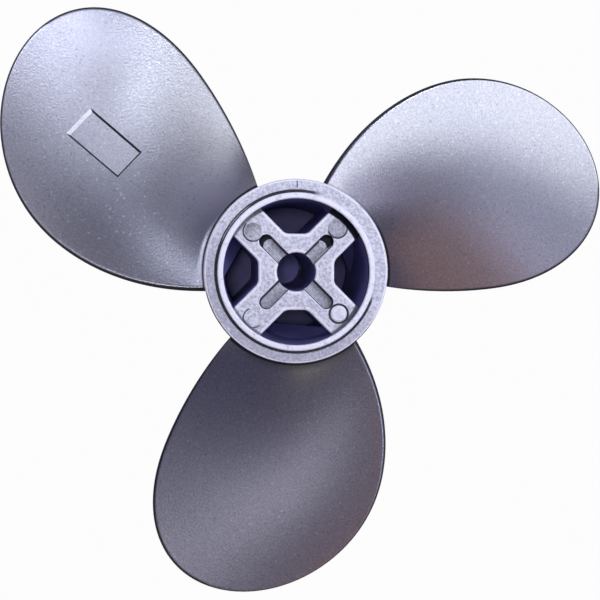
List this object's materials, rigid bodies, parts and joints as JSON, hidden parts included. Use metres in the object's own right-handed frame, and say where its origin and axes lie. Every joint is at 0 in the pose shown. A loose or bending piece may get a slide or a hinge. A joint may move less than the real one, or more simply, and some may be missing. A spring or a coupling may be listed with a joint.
{
  "type": "outboard motor propeller",
  "caption": "Small right-handed outboard boat propeller cast in one piece, with a pocketed open hub end, a pin-drive spider and a rounded closed tail.",
  "frame": {"origin": "on the shaft axis, at the centre of the flat end of the closed tail", "axes": "+Z along the shaft axis, from the tail towards the open hub end; +X and +Y as the picture's right and up"},
  "size_m": [0.165, 0.1606, 0.05],
  "materials": {
    "cast_aluminium": "satin, bare die-cast skin with fine grain"
  },
  "bodies": {
    "root": {"propeller_casting": "cast_aluminium"}
  },
  "joints": []
}
